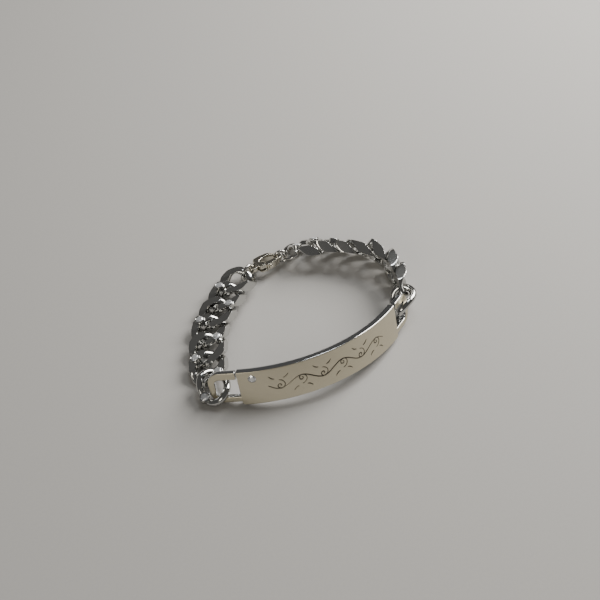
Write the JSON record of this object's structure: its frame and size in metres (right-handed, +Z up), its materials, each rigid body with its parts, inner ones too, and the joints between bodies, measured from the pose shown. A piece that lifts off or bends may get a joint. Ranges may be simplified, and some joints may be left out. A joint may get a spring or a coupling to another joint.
{
  "type": "identity bracelet",
  "caption": "Identity bracelet with a curved plate hooked at both ends to a stone-set curb chain that closes with a lobster clasp",
  "frame": {"origin": "under the middle of the lying bracelet, on the surface that it rests on", "axes": "+X along the chord of the plate, to the right as its face is seen; +Y from the plate's face through the wrist hollow to the clasp; +Z up"},
  "size_m": [0.071, 0.05, 0.0128],
  "materials": {
    "plate": "finely brushed along its length, edges polished",
    "link": "ground flat and polished",
    "ring": "polished",
    "clasp": "polished",
    "stone": "cut and polished, clear"
  },
  "bodies": {
    "bracelet": {"plate": "plate", "hook_link_right": "link", "hook_link_left": "link", "link_right_2": "link", "link_right_3": "link", "link_right_4": "link", "link_right_5": "link", "link_right_6": "link", "link_right_7": "link", "link_right_8": "link", "link_left_2": "link", "link_left_3": "link", "link_left_4": "link", "link_left_5": "link", "link_left_6": "link", "link_left_7": "link", "jump_ring_right": "ring", "jump_ring_middle": "ring", "jump_ring_left": "ring", "clasp_body": "clasp", "stone_plate": "stone", "stone_left_1": "stone", "stone_right_2_upper": "stone", "stone_right_2_lower": "stone", "stone_right_4_upper": "stone", "stone_right_4_lower": "stone", "stone_right_6_upper": "stone", "stone_right_6_lower": "stone", "stone_right_8_upper": "stone", "stone_right_8_lower": "stone", "stone_left_2_upper": "stone", "stone_left_2_lower": "stone", "stone_left_4_upper": "stone", "stone_left_4_lower": "stone", "stone_left_6_upper": "stone", "stone_left_6_lower": "stone"},
    "lever": {"clasp_lever": "clasp"}
  },
  "joints": [
    {"name": "lever_hinge", "type": "hinge", "parent": "bracelet", "child": "lever", "pos_m": [-0.00105, 0.02068, 0.00314], "axis": [-0.0255, 0.308, 0.9511], "range_deg": [0, 25], "stiffness_Nm_per_rad": 0.0005}
  ]
}
